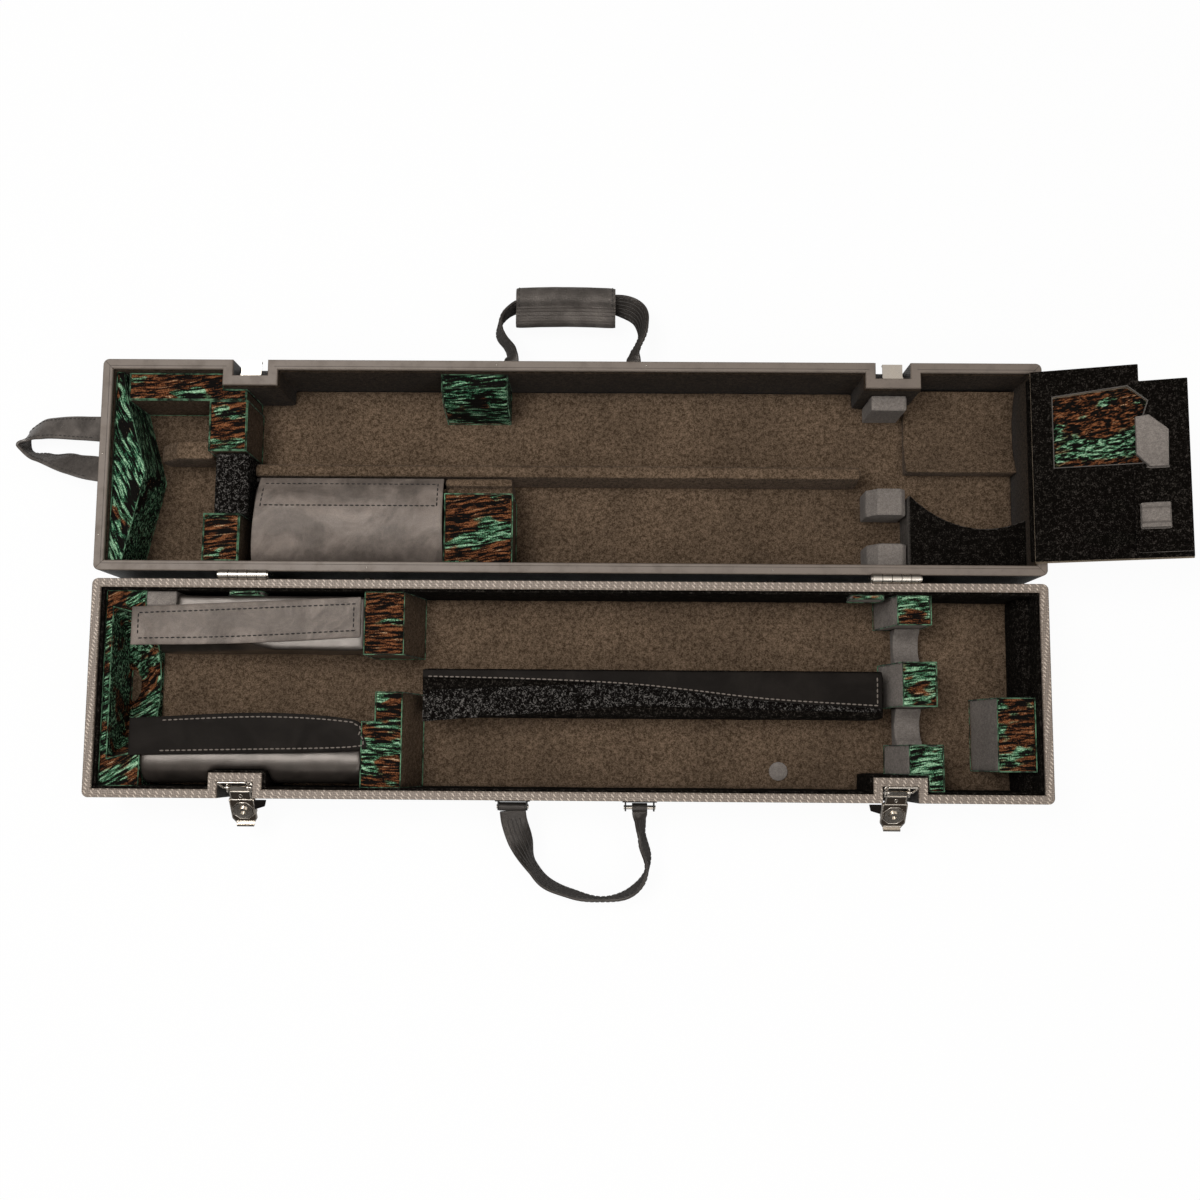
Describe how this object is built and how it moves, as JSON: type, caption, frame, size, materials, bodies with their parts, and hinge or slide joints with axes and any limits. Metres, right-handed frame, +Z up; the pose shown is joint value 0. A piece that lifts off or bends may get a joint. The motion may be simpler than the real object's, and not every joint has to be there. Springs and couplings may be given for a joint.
{
  "type": "clarinet case",
  "caption": "Long hard case, open flat: two shells on butt hinges with draw latches, strap handles and fitted beds for a set of clarinets.",
  "frame": {"origin": "middle of the base shell's resting face", "axes": "+X along the case to the right, +Y from the base shell to the lid shell, +Z up"},
  "size_m": [1.1738, 0.6446, 0.1469],
  "materials": {
    "shell_twill": "woven twill under a satin clear coat",
    "base_rim_twill": "woven twill band, satin",
    "lid_rim_taupe": "smooth satin moulding with mitred corners",
    "felt_brown": "short-nap felt",
    "felt_black": "short-nap velour",
    "foam_grey": "flocked foam",
    "loop_black": "loop fastener",
    "velvet_marbled": "crushed velvet, marbled green, rust and black",
    "leather_black": "fine-grained, stitched",
    "leather_strap": "smooth, edge-finished",
    "nickel": "polished nickel plate",
    "bracket_black": "satin black"
  },
  "bodies": {
    "base": {"base_bell_block": "velvet_marbled", "base_bell_stop": "velvet_marbled", "base_divider": "felt_black", "base_divider_band": "loop_black", "base_end_bolster": "felt_black", "base_far_bolster": "leather_black", "base_far_post": "velvet_marbled", "base_felt_rests": "foam_grey", "base_floor_pad": "felt_brown", "base_glides": "nickel", "base_handle_brackets": "bracket_black", "base_hinge_leaves": "nickel", "base_hinge_patches": "velvet_marbled", "base_near_bolster": "leather_black", "base_near_post": "velvet_marbled", "base_pins": "nickel", "base_rim": "base_rim_twill", "base_rivets": "nickel", "base_saddle_blocks": "velvet_marbled", "base_shell": "shell_twill", "base_wall_lining": "felt_black", "latch_plates": "nickel"},
    "pins": {"hinge_pins": "nickel"},
    "lid": {"cover_hinge": "felt_black", "latch_keepers": "nickel", "lid_back_sheet": "leather_black", "lid_bell_bed": "felt_brown", "lid_bolster": "leather_black", "lid_cradle_block": "velvet_marbled", "lid_crescent": "felt_black", "lid_end_block": "velvet_marbled", "lid_floor_pad": "felt_brown", "lid_foam_cradles": "foam_grey", "lid_hinge_leaves": "nickel", "lid_left_divider": "felt_brown", "lid_middle_post": "loop_black", "lid_pins": "nickel", "lid_rim": "lid_rim_taupe", "lid_rivets": "nickel", "lid_shell": "shell_twill", "lid_stepped_block": "felt_brown", "lid_strap_brackets": "bracket_black", "lid_trough_divider": "felt_brown", "lid_velvet_blocks": "velvet_marbled", "lid_wall_lining": "felt_brown", "lid_wall_wedge": "velvet_marbled"},
    "cover": {"cover_board": "felt_black", "cover_pads": "foam_grey"},
    "left_lever": {"left_latch_lever": "nickel"},
    "left_bail": {"left_latch_bail": "nickel"},
    "right_lever": {"right_latch_lever": "nickel"},
    "right_bail": {"right_latch_bail": "nickel"},
    "base_handle": {"base_handle": "leather_strap"},
    "lid_handle": {"lid_handle": "leather_strap", "lid_handle_grip": "leather_strap"},
    "end_loop": {"end_loop": "leather_strap"},
    "bell_flap": {"base_bell_flap": "leather_black"},
    "bell_strap": {"base_bell_strap": "leather_black"},
    "divider_flap": {"base_divider_flap": "leather_black"},
    "bolster_cover": {"lid_bolster_cover": "leather_black"}
  },
  "joints": [
    {"name": "pins_in_base", "type": "hinge", "parent": "base", "child": "pins", "pos_m": [0, 0.111, 0.0884], "axis": [1, 0, 0], "range_deg": [0, 90]},
    {"name": "lid_on_pins", "type": "hinge", "parent": "pins", "child": "lid", "pos_m": [0, 0.111, 0.0884], "axis": [1, 0, 0], "range_deg": [0, 90]},
    {"name": "cover_fold", "type": "hinge", "parent": "lid", "child": "cover", "pos_m": [0.455, 0.222, 0.087], "axis": [0, -1, 0], "range_deg": [0, 162]},
    {"name": "base_handle_swing", "type": "hinge", "parent": "base", "child": "base_handle", "pos_m": [0.008, -0.114, 0.05], "axis": [1, 0, 0], "range_deg": [-82, 0]},
    {"name": "lid_handle_swing", "type": "hinge", "parent": "lid", "child": "lid_handle", "pos_m": [0, 0.336, 0.05], "axis": [-1, 0, 0], "range_deg": [-82, 0]},
    {"name": "end_loop_swing", "type": "hinge", "parent": "lid", "child": "end_loop", "pos_m": [-0.477, 0.245, 0.05], "axis": [0, -1, 0], "range_deg": [-82, 0]},
    {"name": "bell_flap_lift", "type": "hinge", "parent": "base", "child": "bell_flap", "pos_m": [-0.3195, 0.0915, 0.076], "axis": [1, 0, 0], "range_deg": [-95, 0]},
    {"name": "bell_strap_lift", "type": "hinge", "parent": "base", "child": "bell_strap", "pos_m": [-0.43, -0.048, 0.0758], "axis": [0, 1, 0], "range_deg": [-80, 0]},
    {"name": "divider_flap_lift", "type": "hinge", "parent": "base", "child": "divider_flap", "pos_m": [0.0825, 0.02, 0.0622], "axis": [1, 0, 0], "range_deg": [-100, 0]},
    {"name": "bolster_cover_lift", "type": "hinge", "parent": "lid", "child": "bolster_cover", "pos_m": [-0.2245, 0.1265, 0.0638], "axis": [-1, 0, 0], "range_deg": [-45, 0]},
    {"name": "left_lever_swing", "type": "hinge", "parent": "base", "child": "left_lever", "pos_m": [-0.322, -0.097, 0.066], "axis": [1, 0, 0], "range_deg": [0, 50]},
    {"name": "left_bail_turn", "type": "hinge", "parent": "left_lever", "child": "left_bail", "pos_m": [-0.322, -0.097, 0.074], "axis": [1, 0, 0], "range_deg": [-38, 0]},
    {"name": "right_lever_swing", "type": "hinge", "parent": "base", "child": "right_lever", "pos_m": [0.322, -0.097, 0.066], "axis": [1, 0, 0], "range_deg": [0, 50]},
    {"name": "right_bail_turn", "type": "hinge", "parent": "right_lever", "child": "right_bail", "pos_m": [0.322, -0.097, 0.074], "axis": [1, 0, 0], "range_deg": [-38, 0]}
  ],
  "couplings": [
    {"joint": "cover_fold", "follows": "pins_in_base", "ratio": 1.8},
    {"joint": "left_bail_turn", "follows": "left_lever_swing", "ratio": -0.76},
    {"joint": "right_bail_turn", "follows": "right_lever_swing", "ratio": -0.76}
  ]
}
